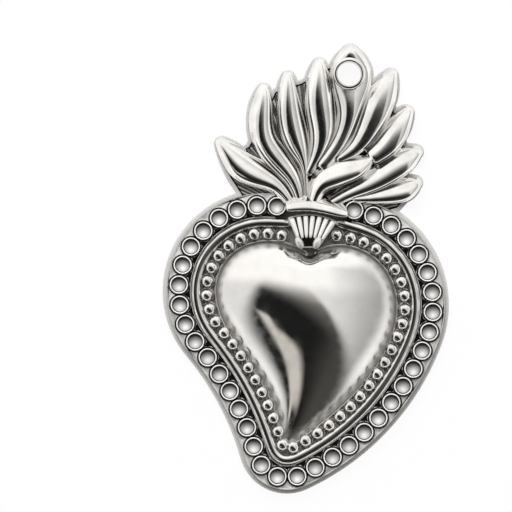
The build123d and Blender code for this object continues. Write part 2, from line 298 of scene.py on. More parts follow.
bm = cad_copy("back_plate")
top = top_faces(bm)
inset(bm, top, RIM_SHOWN)
line = inset(bm, top, LINE_WIDTH, GROUND_DROP)
paint(top, 1)
paint(line, 2)
corner = [e for e in bm.edges if len(e.link_faces) == 2 and e.calc_face_angle() > EDGE_ANGLE
          and min(v.co.z for v in e.verts) > SEAT - CLOSE * MM]
bmesh.ops.bevel(bm, geom=corner, offset=EDGE_EASE * MM, segments=EDGE_STEPS, profile=0.5, affect="EDGES",
                clamp_overlap=True, material=-1)
make("plate", bm, "back_plate", "oxidised_silver", satin, ground, black)

# %% [markdown]
# ## The border rails
#
# Two scalloped strips hold the row of cups, with a pointed nub in each gap. They keep
# their CAD shape. A thin wall is left standing round the top and the rest is sunk, the
# way a graver cuts a strip hollow: the outer hollow stays dull, the inner one black.

# %% The border rails
RAIL_WALL = 0.08
RAIL_HOLLOW = {"outer": 0.12, "inner": 0.35}

dulled = silver("dulled_silver", grey(0.72, 0.05), grey(0.15, 0.1), rough=0.35, grain=3000.0, depth=0.02,
                stain=(0.0, 0.4), metal=0.4)
rail_floor = {"outer": dulled, "inner": black}

for side, hollow in RAIL_HOLLOW.items():
    bm = cad_copy(f"border_{side}_rail", flat=True)
    top = top_faces(bm)
    inset(bm, top, RAIL_WALL, hollow)
    paint(top, 1)
    make(f"{side}_rail", bm, f"border_{side}_rail", "satin_silver", satin, rail_floor[side])

# %% [markdown]
# ## Where the cups sit
#
# Cups, beads and flutes are each one CAD node of many solids. A walk along the edges
# from any corner finds one whole solid, and the middle of its box is its place. So the
# rows follow the CAD model even if its sizes change.

# %% Find the cups


def islands(node):
    """The corner points of each separate solid in a CAD node."""
    bm = cad_copy(node)
    seen = set()
    solids = []
    for start in bm.verts:
        if start in seen:
            continue
        seen.add(start)
        front = [start]
        solid = []
        while front:
            vert = front.pop()
            solid.append(vert.co.copy())
            fresh = [e.other_vert(vert) for e in vert.link_edges if e.other_vert(vert) not in seen]
            seen.update(fresh)
            front.extend(fresh)
        solids.append(solid)
    bm.free()
    return solids


def middle(points):
    """The middle of the box round some points."""
    return Vector([(min(p[i] for p in points) + max(p[i] for p in points)) / 2 for i in range(3)])


cup_places = [middle(solid) for solid in islands("border_cups")]
print("cups:", len(cup_places))

# %% [markdown]
# ## The cups
#
# Each cup is a short tube with a rounded rim and a shallow dish inside. A dished cup is
# a turned shape, so one profile is spun about each cup's axis. The profile starts with
# a flat ring just above the rails, which is painted black as the shadow in the crevice
# round every cup, and has a groove between the rim and the dish.

# %% Turn the cups
CUP_R = 1.17
CUP_WALL = [(CUP_R, 1.04), (1.15, 1.09), (1.1, 1.1), (1.04, 1.08), (1.01, 1.02), (1.0, 0.62), (0.94, 0.6)]
CUP_DISH = [(0.92, 0.68), (0.87, 0.68), (0.8, 0.65), (0.7, 0.61), (0.6, 0.56), (0.5, 0.51), (0.4, 0.46),
            (0.3, 0.43), (0.2, 0.41), (0.1, 0.4), (0.0, 0.4)]
SHADOW_RING_R = 1.4
SHADOW_RING_OVER = 0.03
CUP_SPINS = 32
CUP_MERGE = 0.005


def turn(bm, profile, place, spins):
    """Spins a profile, written as radius and height in mm, about the upright axis."""
    verts = [bm.verts.new(place + Vector((r, 0, z)) * MM) for r, z in profile]
    edges = [bm.edges.new(pair) for pair in zip(verts, verts[1:])]
    bmesh.ops.spin(bm, geom=verts + edges, cent=place, axis=UP, angle=2 * math.pi, steps=spins,
                   use_merge=True)


# The flat ring round each cup's foot is there only to be painted black, as the shadow round the cup.
shadow_ring_height = (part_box("border_outer_rail")[1][2] - SEAT) / MM + SHADOW_RING_OVER
cup_profile = [(SHADOW_RING_R, 0.0), (SHADOW_RING_R, shadow_ring_height), (CUP_R, shadow_ring_height)] + CUP_WALL + CUP_DISH
bm_cups = bmesh.new()
for place in cup_places:
    turn(bm_cups, cup_profile, Vector((place.x, place.y, SEAT)), CUP_SPINS)
bmesh.ops.remove_doubles(bm_cups, verts=bm_cups.verts, dist=CUP_MERGE * MM)
print("crevices", round(shadow_ring_height, 2), "mm above the plate")

# %% [markdown]
# ## Painted shade and light in the dishes
#
# A mirror finish would show rings of reflections in so small a bowl, so the dish has a
# brushed finish, and each point carries a number of painted light: a light spot below
# the middle that fades to painted shade at the edge, so that the upper edge of every
# dish is painted dark, as in the photograph. Groove and the flat ring round the cup are
# painted black, as shade.

# %% Finish the cups
DISH_R = 0.925
GROOVE_R = 1.02
# Where the painted light spot sits below each dish's middle and how far it reaches, in mm.
LIGHT_SPOT_BELOW = 0.36
LIGHT_SPOT_REACH = 1.08
LIGHT_SPOT_FADE = 0.8

frosted = silver("frosted_silver", grey(0.95, 0.02), grey(0.85, 0.05), rough=0.4, grain=6000.0, depth=0.003,
                 stain=(-1.3, -0.9), metal=0.1)
# The dish's colour runs from painted shade to a painted highlight, by the painted light value.
brushed_and_shaded = silver("brushed_and_shaded_silver", grey(0.97, 0.02), grey(0.04, 0.05), rough=0.5, grain=6000.0, depth=0.0005,
                 metal=0.0, crust=0.1)


def from_cup(point):
    """The way to a point from the middle of the nearest cup, in mm."""
    place = min(cup_places, key=lambda p: (point - p).xy.length)
    return (point - place) / MM


def cup_finish(distance):
    """The number of the finish at a distance from a cup's middle."""
    if distance < DISH_R:
        return 1
    # The groove and the flat ring outside the cup take the black finish, as painted shade.
    return 2 if distance < GROOVE_R or distance > CUP_R else 0


for face in bm_cups.faces:
    face.material_index = cup_finish(from_cup(face.calc_center_median()).xy.length)
painted_light = bm_cups.verts.layers.float.new("painted_light")
# Painted light: brightest a little below each dish's middle, fading to painted shade at its edge.
for vert in bm_cups.verts:
    reach = (from_cup(vert.co) + Vector((0, LIGHT_SPOT_BELOW, 0))).xy.length / LIGHT_SPOT_REACH
    vert[painted_light] = max(1 - reach, 0.0) ** LIGHT_SPOT_FADE
make("cups", bm_cups, "border_cups", "satin_silver", frosted, brushed_and_shaded, black)

# %% [markdown]
# ## Sweeping a bar along a row of points
#
# Wire, bezel, flames, lip and flutes are all bars that follow a line. A curve object
# with a bevel could make them, but its section can't lean or change its outline on the
# way. So a section is extruded from stance to stance, as a bar grows out of a rolling
# mill: each stance is a matrix with the place, the half width, the rise and the lean.

# %% Rows and sweeps
ROW_START = Vector((-4, 8, 0)) * MM


def in_a_row(points, start):
    """Points in order along a row, each the nearest to the one before."""
    rest = list(points)
    row = []
    here = start
    while rest:
        here = min(rest, key=lambda p: (p - here).length)
        rest.remove(here)
        row.append(here)
    return row


def headings(row):
    """The way ahead at each point of a row."""
    return [(b - a).normalized() for a, b in zip(row[:1] + row[:-1], row[1:] + row[-1:])]


def stance(place, heading, half, rise, lean=0.0):
    """Sets a unit section, across X and up Z, at a place; lean pulls its crest sideways."""
    along = Vector((heading[0], heading[1], 0)).normalized()
    side = Vector((along.y, -along.x, 0)) * half
    matrix = Matrix((side, along, UP * rise + side * lean)).transposed().to_4x4()
    matrix.translation = place
    return matrix


def grow(bm, edges):
    """Extrudes a loop of edges once, and gives the new points and edges."""
    grown = bmesh.ops.extrude_edge_only(bm, edges=edges)["geom"]
    points = [item for item in grown if isinstance(item, bmesh.types.BMVert)]
    ends = set(points)
    return points, [e for e in grown if isinstance(e, bmesh.types.BMEdge) and set(e.verts) <= ends]


def sweep(bm, stances, sides=16, sink=0.3, point=1.0, closed=False):
    """Extrudes a round or pointed section, flattened below its middle, from stance to stance."""
    upright = Matrix.Rotation(math.pi / 2, 4, "X")
    ring = bmesh.ops.create_circle(bm, segments=sides, radius=1.0, matrix=upright)["verts"]
    for vert in ring:
        vert.co.x = math.copysign(abs(vert.co.x) ** point, vert.co.x)
        vert.co.z = vert.co.z ** point if vert.co.z > 0 else vert.co.z * sink
    bmesh.ops.transform(bm, matrix=stances[0], verts=ring)
    first = list({edge for vert in ring for edge in vert.link_edges})
    edges = first
    for before, after in zip(stances, stances[1:]):
        ring, edges = grow(bm, edges)
        bmesh.ops.transform(bm, matrix=after @ before.inverted(), verts=ring)
    if closed:
        bmesh.ops.bridge_loops(bm, edges=first + edges)
    else:
        bmesh.ops.edgeloop_fill(bm, edges=first + edges)


cup_row = in_a_row([Vector((p.x, p.y, SEAT)) for p in cup_places], ROW_START)
cup_heads = headings(cup_row)
print("row of cups from", cup_row[0].xy, "to", cup_row[-1].xy)

# %% [markdown]
# ## The ridge wire
#
# A half-round wire runs inside the cups. On the bench it is drawn straight, bent to the
# heart and soldered down. The cups' middles lie on the heart's line, so that line moved
# inwards is the wire's way, with a straight lead at each end that tucks under the collar.

# %% The ridge wire
WIRE_INSET = 2.15
WIRE_HALF = 0.6
WIRE_RISE = 0.44
WIRE_LIFT = 0.47
WIRE_SINK = 1.5
WIRE_LEAD_IN = 2.2
WIRE_LEAD_OUT = 2.0

polished = silver("polished_silver", grey(0.95, 0.03), grey(0.25, 0.1), rough=0.1, grain=2500.0, depth=0.002,
                  stain=(-0.15, 0.1))

row = [p + Vector((-h.y, h.x, 0)) * WIRE_INSET * MM for p, h in zip(cup_row, cup_heads)]
heads = headings(row)
row = [row[0] - heads[0] * WIRE_LEAD_IN * MM] + row + [row[-1] + heads[-1] * WIRE_LEAD_OUT * MM]
bm = bmesh.new()
sweep(bm, [stance(p + UP * WIRE_LIFT * MM, h, WIRE_HALF * MM, WIRE_RISE * MM)
           for p, h in zip(row, headings(row))], sink=WIRE_SINK)
make("ridge_wire_round", bm, "ridge_wire", "polished_silver", polished, smoothing=2)

# %% [markdown]
# ## The beads
#
# Granulation is tiny balls of silver, fused to the plate. A ball flattens a little as
# it fuses, so each bead is a sphere pressed down, at the place of its CAD bead. A fine
# ring round its foot stands for the rim of fused metal.

# %% The beads
BEAD_R = 0.8
BEAD_RISE = 0.65
BEAD_LIFT = 0.45
BEAD_SIDES = 24
BEAD_RINGS = 14
CELL_R = 0.9
CELL_WIRE = 0.11
CELL_DROP = 0.5
CELL_SIDES = 8

bm = bmesh.new()
for solid in islands("granule_beads"):
    place = middle(solid)
    place.z = SEAT + BEAD_LIFT * MM
    squash = Matrix.Translation(place) @ Matrix.Diagonal((1, 1, BEAD_RISE / BEAD_R, 1))
    bmesh.ops.create_uvsphere(bm, u_segments=BEAD_SIDES, v_segments=BEAD_RINGS, radius=BEAD_R * MM,
                              matrix=squash)
    foot = place + Vector((CELL_R, 0, -CELL_DROP)) * MM
    upright = Matrix.Translation(foot) @ Matrix.Rotation(math.pi / 2, 4, "X")
    loop = bmesh.ops.create_circle(bm, segments=CELL_SIDES, radius=CELL_WIRE * MM, matrix=upright)["verts"]
    loop_edges = list({edge for vert in loop for edge in vert.link_edges})
    bmesh.ops.spin(bm, geom=loop + loop_edges, cent=place, axis=UP, angle=2 * math.pi, steps=BEAD_SIDES,
                   use_merge=True)
make("beads", bm, "granule_beads", "polished_silver", polished)

# %% [markdown]
# ## The puffed heart: its foot
#
# The heart was pushed up from behind in thin sheet, so first we need the line where it
# meets the plate. That is the outline of the CAD dome's underside. It is moved outwards
# everywhere but in the cleft, its tip is drawn down and its cleft up, and then it is
# smoothed, with the tip and the cleft held so that they stay sharp.

# %% The heart's foot line
CROWN = Vector((-0.2, -7.2, 0)) * MM
CLEFT = Vector((0.3, 1.0, 0)) * MM
CLEFT_NEAR = 2.0
CLEFT_FAR = 6.0
CLEFT_UP = 0.9
TIP_DOWN = 0.5
FOOT_OUT = 0.75
FOOT_CUTS = 3
FOOT_SMOOTHING = 24
MITRE_LIMIT = 0.4


def foot_line(node):
    """Only the outline of a CAD node's underside, as edges in a new bmesh."""
    bm = cad_copy(node)
    foot = min(v.co.z for v in bm.verts) + CLOSE * MM
    line = [e for e in bm.edges if max(v.co.z for v in e.verts) < foot
            and any(f.normal.z > -LOOKS_UP for f in e.link_faces)]
    spare = [e for e in bm.edges if e not in line]
    bmesh.ops.delete(bm, geom=bm.faces[:], context="FACES_ONLY")
    bmesh.ops.delete(bm, geom=spare, context="EDGES")
    return bm


def far_from_cleft(place):
    """0 in the cleft, 1 well away from it."""
    far = ((place - CLEFT).xy.length / MM - CLEFT_NEAR) / (CLEFT_FAR - CLEFT_NEAR)
    return min(max(far, 0.0), 1.0)


def widen(bm, distance):
    """Moves an outline outwards, but not in the cleft."""
    moves = {}
    for vert in bm.verts:
        sides = []
        for edge in vert.link_edges:
            along = (edge.other_vert(vert).co - vert.co).normalized()
            across = Vector((along.y, -along.x, 0))
            sides.append(across if across.dot(vert.co - CROWN) > 0 else -across)
        out = (sides[0] + sides[1]).normalized()
        moves[vert] = out * distance * MM * far_from_cleft(vert.co) / max(out.dot(sides[0]), MITRE_LIMIT)
    for vert, move in moves.items():
        vert.co += move


def smooth_in_plan(bm, verts, passes):
    """Evens out points as seen from above, and leaves their heights alone."""
    for _ in range(passes):
        bmesh.ops.smooth_vert(bm, verts=verts, factor=0.5, use_axis_x=True, use_axis_y=True)


bm_heart = foot_line("heart_dome")
bmesh.ops.subdivide_edges(bm_heart, edges=bm_heart.edges[:], cuts=FOOT_CUTS)
lowest = min(bm_heart.verts, key=lambda v: v.co.y)
dip = min(bm_heart.verts, key=lambda v: (v.co - CLEFT).xy.length)
widen(bm_heart, FOOT_OUT)
lowest.co.y -= TIP_DOWN * MM
for vert in bm_heart.verts:
    vert.co.y += CLEFT_UP * MM * (1 - far_from_cleft(vert.co))
smooth_in_plan(bm_heart, [v for v in bm_heart.verts if v not in (lowest, dip)], FOOT_SMOOTHING)
foot_points = [v.co.copy() for v in bm_heart.verts]
foot_edges = [tuple(v.co.copy() for v in e.verts) for e in bm_heart.edges]
print("foot line of", len(foot_points), "points")

# %% [markdown]
# ## The puffed heart: its skin
#
# The foot line is extruded ring by ring towards the crown and the last ring is filled
# with a grid, all of it still flat. Evening the points out now keeps the grid's corners
# from folding, which a mirror finish would show as a bright squiggle.

# %% The heart's flat skin
DOME_RINGS = 18
DOME_REACH = 0.7
RING_SPACING = 1.3
SKIN_SMOOTHING = 6

held = set(bm_heart.verts)
edges = bm_heart.edges[:]
share = 1.0
for step in range(1, DOME_RINGS + 1):
    ring, edges = grow(bm_heart, edges)
    new_share = 1 - DOME_REACH * (step / DOME_RINGS) ** RING_SPACING
    bmesh.ops.scale(bm_heart, vec=(new_share / share, new_share / share, 1), verts=ring,
                    space=Matrix.Translation(-CROWN))
    share = new_share
edges.sort(key=lambda e: math.atan2(*((e.verts[0].co + e.verts[1].co) / 2 - CROWN).xy))
quarter = len(edges) // 4
bmesh.ops.grid_fill(bm_heart, edges=edges[:quarter] + edges[2 * quarter:3 * quarter])
loose = [v for v in bm_heart.verts if v not in held]
smooth_in_plan(bm_heart, loose, SKIN_SMOOTHING)
print("skin of", len(loose), "loose points")

# %% [markdown]
# ## The puffed heart: its rise
#
# Now the skin is raised. Height by the distance to the nearest edge would leave ridges
# where two edges are equally near. Instead each point asks the whole rim how close it
# is, and sums the answers, as air pressure does: a smooth swelling. The rim counts for
# less in the cleft, so that the two lobes flow together below it.

# %% Raise the heart
DOME_RISE = 4.3
DOME_FULLNESS = 1.05
CLEFT_PULL = 0.25
SMALLEST = 1e-7

mirror = silver("mirror_silver", grey(0.95, 0.03), grey(0.75, 0.05), rough=0.09, grain=900.0, depth=0.001,
                stain=(-0.1, 1.0), crust=0.45)


def inside(point, rim):
    """How far a point lies inside the rim, as one smooth measure without ridges."""
    total = 0.0
    for start, end, weight in rim:
        along = (end - start).normalized()
        low = (start - point).dot(along)
        high = (end - point).dot(along)
        off = max(((start - point) - along * low).length, SMALLEST)
        total += weight * (math.atan2(high, off) - math.atan2(low, off)) / off
    return 1 / total


rim = [(start, end, CLEFT_PULL + (1 - CLEFT_PULL) * far_from_cleft((start + end) / 2))
       for start, end in foot_edges]
depths = {v: inside(v.co, rim) for v in loose}
deepest = max(depths.values())
for vert, depth in depths.items():
    vert.co.z = SEAT + DOME_RISE * MM * (depth / deepest) ** DOME_FULLNESS
make("puffed_heart", bm_heart, "heart_dome", "polished_silver", mirror, smoothing=1)

# %% [markdown]
# ## The bezel strip
#
# A thin strip stands round the foot of the heart and holds it, as a bezel holds a
# stone. It is swept along the heart's foot line, a little outside it, so it fits
# whatever shape the foot was given.

# %% The bezel strip
BEZEL_OUT = 0.2
BEZEL_HALF = 0.2
BEZEL_RISE = 0.4
BEZEL_SIDES = 8

loop = in_a_row(foot_points, CLEFT)
turning = sum(a.x * b.y - b.x * a.y for a, b in zip(loop, loop[1:] + loop[:1]))
hand = math.copysign(1, turning)
stances = []
for before, here, after in zip(loop[-1:] + loop[:-1], loop, loop[1:] + loop[:1]):
    ahead = (after - before).normalized()
    outside = Vector((ahead.y, -ahead.x, 0)) * hand
    stances.append(stance(here + outside * BEZEL_OUT * MM, ahead, BEZEL_HALF * MM, BEZEL_RISE * MM))
bm = bmesh.new()
sweep(bm, stances, sides=BEZEL_SIDES, closed=True)
make("bezel_strip", bm, "dome_bezel", "polished_silver", polished, smoothing=1)

# %% [markdown]
# ## The flames
#
# Each tongue is an S-curve that swells and then narrows to a round tip, as one could
# chase it with a curved punch. Its stations give the middle line and the half width,
# counted from the collar. The section is swept through them: broad places rise higher,
# the tip falls away, and the crest leans downhill. The swelling is what makes the dark
# reflection run along the crest like a drawn line. Only where the tall tongue is broad
# enough for the hole does it stay low, as a seat for the eyelet.

# %% The flames
FLAME_RISE = 0.85
FLAME_SWELL = 0.55
FLAME_POINT = 1.12
FLAME_LEAN = 0.55
FRONT_LIFT = 0.5
DOWNHILL = Vector((0.3, -0.95, 0))
ROOT_REACH = 0.8
TIP_REACH = 0.6
TIP_SHARE = 0.65
TIP_FALL = [0.95, 0.8, 0.45]
HOLE_BREADTH = 2.5
EYELET_SEAT = 1.3

FLAMES = {
    "far_left": [(-3.2, 0.8, 0.95), (-4.7, 3.2, 1.35), (-7.1, 4.3, 1.9), (-9.5, 5.4, 2.3), (-11.3, 7.4, 1.5),
                 (-12.4, 8.7, 0.75)],
    "left": [(-2.1, 1.1, 0.88), (-2.6, 3.7, 1.3), (-4.7, 6.3, 1.8), (-6.7, 8.6, 1.8), (-7.2, 11.5, 1.8),
             (-6.9, 14.1, 1.4), (-6.7, 15.7, 0.75)],
    "inner_left": [(-1.25, 1.0, 0.4), (-1.3, 3.3, 0.4), (-1.4, 5.6, 0.7), (-2.0, 7.4, 1.55), (-2.9, 9.8, 2.0),
                   (-3.5, 12.5, 1.9), (-3.6, 15.0, 1.5), (-3.6, 17.3, 0.75)],
    "centre": [(-1.0, 5.0, 0.85), (0.2, 7.4, 1.25), (0.9, 9.8, 1.9), (0.6, 12.5, 2.2), (0.3, 15.1, 2.05),
               (0.4, 17.2, 1.55), (0.5, 19.0, 0.8)],
    "tall": [(0.7, 5.9, 1.2), (2.9, 8.6, 1.4), (4.0, 11.2, 1.55), (4.4, 13.4, 2.05), (4.5, 15.9, 2.9),
             (4.5, 18.2, 2.9), (4.5, 20.1, 1.7), (4.5, 20.8, 0.9)],
    "inner_right": [(3.1, 6.8, 0.88), (5.3, 8.1, 1.45), (6.8, 10.8, 1.95), (7.9, 13.3, 2.3), (9.0, 15.6, 1.8),
                    (9.9, 17.6, 0.8)],
    "right": [(7.4, 7.1, 1.55), (8.9, 8.2, 1.9), (10.1, 9.8, 1.95), (11.0, 11.2, 1.55), (12.0, 12.8, 0.85)],
    "low_right": [(2.2, 1.1, 1.05), (4.1, 2.3, 1.22), (7.1, 3.5, 1.55), (9.2, 4.8, 1.8), (11.3, 6.3, 1.9),
                  (12.7, 7.2, 1.2), (13.4, 7.5, 0.75)],
    "far_right": [(5.4, 1.5, 0.8), (6.6, 1.6, 1.02), (9.3, 2.0, 1.48), (11.5, 2.5, 1.75), (12.7, 3.2, 1.2),
                  (13.3, 3.5, 0.75)],
    "front": [(-0.4, 1.0, 1.05), (0.0, 2.8, 1.45), (1.3, 4.2, 2.0), (3.3, 5.0, 1.95), (5.4, 5.5, 1.7),
              (6.7, 6.3, 1.05), (7.3, 6.7, 0.65)],
}

collar = (cup_row[0] + cup_row[-1]) / 2


def tongue(name, stations):
    """Sweeps one flame through its stations, from a root behind the first to a tip past the last."""
    row = [collar + Vector((x, y, 0)) * MM for x, y, half in stations]
    halves = [half for x, y, half in stations]
    heads = headings(row)
    root = row[0] - heads[0] * ROOT_REACH * MM
    tip = row[-1] + heads[-1] * halves[-1] * TIP_REACH * MM
    row = [root] + row + [tip]
    heads = heads[:1] + heads + heads[-1:]
    halves = halves[:1] + halves + [halves[-1] * TIP_SHARE]
    base = FLAME_RISE + (FRONT_LIFT if name == "front" else 0.0)
    rises = [base + FLAME_SWELL * half if half < HOLE_BREADTH else EYELET_SEAT for half in halves]
    rises[-3:] = [rise * fall for rise, fall in zip(rises[-3:], TIP_FALL)]
    leans = [FLAME_LEAN * Vector((h.y, -h.x, 0)).dot(DOWNHILL) for h in heads]
    bm = bmesh.new()
    sweep(bm, [stance(p, h, half * MM, rise * MM, lean)
               for p, h, half, rise, lean in zip(row, heads, halves, rises, leans)], point=FLAME_POINT)
    return make(f"tongue_{name}", bm, f"flame_{name}", "polished_silver", polished, smoothing=2)


tongues = {name: tongue(name, stations) for name, stations in FLAMES.items()}

# %% [markdown]
# ## Punching the hanging hole
#
# The tall tongue is pierced for a ring or a ribbon. A Boolean modifier with a cylinder
# does what a punch does. Its result is kept as the tongue's mesh and the cylinder is
# thrown away, so that nothing in the scene still depends on it.

# %% Punch the tall tongue
PUNCH_DEPTH = 10.0
PUNCH_SIDES = 48

hole_low, hole_high = (Vector(c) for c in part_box("hanging_eyelet"))
hole = (hole_low + hole_high) / 2
hole_radius = (hole_high.x - hole_low.x) / 2

bm = bmesh.new()
bmesh.ops.create_cone(bm, cap_ends=True, segments=PUNCH_SIDES, radius1=hole_radius, radius2=hole_radius,
                      depth=PUNCH_DEPTH * MM, matrix=Matrix.Translation((hole.x, hole.y, SEAT)))
punch_mesh = bpy.data.meshes.new("punch")
bm.to_mesh(punch_mesh)
bm.free()
punch = bpy.data.objects.new("punch", punch_mesh)
bpy.context.scene.collection.objects.link(punch)
pierced = tongues["tall"]
cut = pierced.modifiers.new("cut", "BOOLEAN")
cut.object = punch
finished = bpy.data.meshes.new_from_object(pierced.evaluated_get(bpy.context.evaluated_depsgraph_get()))
pierced.modifiers.clear()
pierced.data = finished
bpy.data.objects.remove(punch)
print("hole of", round(2 * hole_radius / MM, 2), "mm punched for the eyelet")

# %% [markdown]
# ## The hanging eyelet
#
# A bright ring lines the hole, so that a chain doesn't saw through the flame. It is a
# turned piece: a tube through the plate, with a flange that lies on the tongue and a
# rounded lip. Its height and its outside come from the CAD eyelet.

# %% The hanging eyelet
EYELET_BORE = 1.55
EYELET_ROUND = 0.08
EYELET_FLANGE = 0.3
FLANGE_FOOT = 1.0
FLANGE_SIDE = 0.3
FLANGE_EASE = 0.12
FLANGE_SHARE = 0.8

ring_high = (hole_high.z - SEAT) / MM
ring_low = (hole_low.z - SEAT) / MM
ring_out = hole_radius / MM
flange_out = ring_out + EYELET_FLANGE
tube = [(ring_out, ring_low), (ring_out, FLANGE_FOOT)]
flange = [(flange_out, FLANGE_FOOT), (flange_out, ring_high - FLANGE_SIDE),
          (ring_out + FLANGE_SHARE * EYELET_FLANGE, ring_high - FLANGE_EASE), (ring_out, ring_high)]
bore = [(EYELET_BORE + EYELET_ROUND, ring_high), (EYELET_BORE, ring_high - EYELET_ROUND),
        (EYELET_BORE, ring_low)]
bm = bmesh.new()
turn(bm, tube + flange + bore + tube[:1], Vector((hole.x, hole.y, SEAT)), PUNCH_SIDES)
bmesh.ops.remove_doubles(bm, verts=bm.verts, dist=MERGE * MM)
make("eyelet_ring", bm, "hanging_eyelet", "polished_silver", polished)

# %% [markdown]
# ## The collar's lip
#
# An arched bar joins the first cup to the last and covers the roots of the flames. It
# is one more swept bar, thick in the middle, and its crest leans so that the whole bar
# catches the light from above.

# %% The collar's lip
LIP_WAY = [(-3.9, 0.0, 0.35), (-3.6, 0.1, 0.5), (-2.4, 0.32, 0.58), (-0.5, 0.36, 0.6), (1.7, -0.1, 0.58),
           (3.4, -0.6, 0.52), (4.0, -0.7, 0.45), (4.2, -0.72, 0.32)]
LIP_LIFT = 1.95
LIP_RISE = 0.6
LIP_LEAN = 0.75
LIP_SINK = 4.4

row = [collar + Vector((x, y, LIP_LIFT)) * MM for x, y, half in LIP_WAY]
bm = bmesh.new()
sweep(bm, [stance(p, h, half * MM, LIP_RISE * MM, LIP_LEAN)
           for p, h, (x, y, half) in zip(row, headings(row), LIP_WAY)], sink=LIP_SINK)
make("lip_bar", bm, "collar_lip", "polished_silver", polished, smoothing=2)

# %% [markdown]
# ## The basket
#
# Below the lip hangs a fan of seven flutes on a dark block, like a basket that holds
# the fire, with two small lobes at its foot. Only the block's top is painted black, as
# the shadow under the lip: its sides are bright, because the polished heart beside it
# mirrors them.

# %% The basket block
LOBES = [(-1.0, 3.5, 30), (1.3, 3.5, -26)]
LOBE_SIZE = (0.5, 0.85, 0.55)

worked = silver("worked_silver", grey(0.8, 0.03), grey(0.2, 0.1), rough=0.25, grain=3000.0, depth=0.01,
                stain=(0.0, 0.4), metal=0.4)
basket_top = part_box("collar_basket")[1][2]
bm = cad_copy("collar_basket", flat=True)
# The block's top takes the black finish: painted shadow under the lip.
painted_shadow_top = set(top_faces(bm))
for x, y, turned in LOBES:
    shape = Matrix.Translation(Vector((x * MM, y * MM, basket_top)))
    shape = shape @ Matrix.Rotation(math.radians(turned), 4, "Z") @ Matrix.Diagonal((*LOBE_SIZE, 1))
    bmesh.ops.create_uvsphere(bm, u_segments=BEAD_SIDES, v_segments=BEAD_RINGS, radius=MM, matrix=shape)
paint([face for face in bm.faces if face not in painted_shadow_top], 1)
make("basket_block", bm, "collar_basket", "oxidised_silver", black, worked)

# %% [markdown]
# ## The flutes
#
# Each flute is a tapering half-round bar. Its line runs from the middle of the CAD
# rib's upper half to the middle of its lower half, so the fan keeps its spread, and the
# list gives the share of that way, the half width and the share of the full rise.

# %% The basket's flutes
FLUTE_WAY = [(-0.02, 0.25, 0.3), (0.0, 0.34, 1.0), (0.35, 0.3, 1.0), (0.6, 0.25, 0.9), (0.72, 0.18, 0.7),
             (0.75, 0.12, 0.3)]
FLUTE_SINK = 0.05
FLUTE_SIDES = 12

flute_foot = basket_top - FLUTE_SINK * MM
flute_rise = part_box("collar_ribs")[1][2] - flute_foot
bm = bmesh.new()
for solid in islands("collar_ribs"):
    level = middle(solid).y
    head = middle([p for p in solid if p.y > level])
    foot = middle([p for p in solid if p.y <= level])
    head.z = foot.z = flute_foot
    sweep(bm, [stance(head.lerp(foot, t), foot - head, half * MM, flute_rise * up)
               for t, half, up in FLUTE_WAY], sides=FLUTE_SIDES)
make("basket_flutes", bm, "collar_ribs", "polished_silver", frosted, smoothing=2)

# %% [markdown]
# ## The light tent: its opening
#
# A polished charm shows its surroundings more than itself, so it is photographed in a
# white tent. The tent is open above, where the camera looks in: that opening is the
# dark shape in the heart and the dark line on every crest. A real tent could be
# modelled, but the world shader can be painted by direction, which is simpler. Two
# angles name a direction: how far it tips across, and how far upward in the picture.

# %% The tent's opening
DEGREES = 180 / math.pi
OPENING_LEFT = (-51.0, -42.0)
LEFT_SLANT = -0.3
OPENING_RIGHT = (17.0, 27.0)
RIGHT_SLANT = 0.65
OPENING_TOP = (6.0, 38.0)
TOP_SLANT = 0.25
OPENING_LOW = (0.28, 0.38)

world = bpy.data.worlds.new("light_tent")
bpy.context.scene.world = world
world.use_nodes = True
tree = world.node_tree
tree.nodes.clear()
direction = put(tree, "ShaderNodeTexCoord").outputs["Generated"]
axes = put(tree, "ShaderNodeSeparateXYZ", {"Vector": direction}).outputs
across = times(tree, calc(tree, "ARCTAN2", axes["X"], axes["Z"]), DEGREES)
upward = times(tree, calc(tree, "ARCTAN2", axes["Y"], axes["Z"]), DEGREES)
left_edge = calc(tree, "MULTIPLY_ADD", upward, LEFT_SLANT, across)
right_edge = calc(tree, "MULTIPLY_ADD", upward, RIGHT_SLANT, across)
top_edge = calc(tree, "MULTIPLY_ADD", across, TOP_SLANT, upward)
opening = times(tree, ease(tree, left_edge, *OPENING_LEFT), fade(tree, right_edge, *OPENING_RIGHT),
                fade(tree, top_edge, *OPENING_TOP), ease(tree, axes["Z"], *OPENING_LOW))
print("opening painted with", len(tree.nodes), "nodes")

# %% [markdown]
# ## The light tent: what is seen through the opening
#
# Through the opening the silver sees a dim room. It is darkest on the left and grows
# lighter to the right, most of all at the upper right, where light spills over the
# tent's edge. A pale bar with a post stands in it: the warm stripe along the dark shape
# in the heart.

# %% The room above the tent
BAR_AT = -36.0
BAR_HALF = (3.0, 9.0)
BAR_LEFT = (-52.0, -46.0)
BAR_RIGHT = (-30.0, -12.0)
POST_AT = -45.5
POST_HALF = (1.5, 5.0)
POST_LOW = (-42.0, -36.0)
POST_HIGH = (-24.0, -17.0)
ROOM_SLANT = 0.6
LOW_RIGHT = (20.0, 70.0)
HIGH_RIGHT = (-14.0, 24.0)

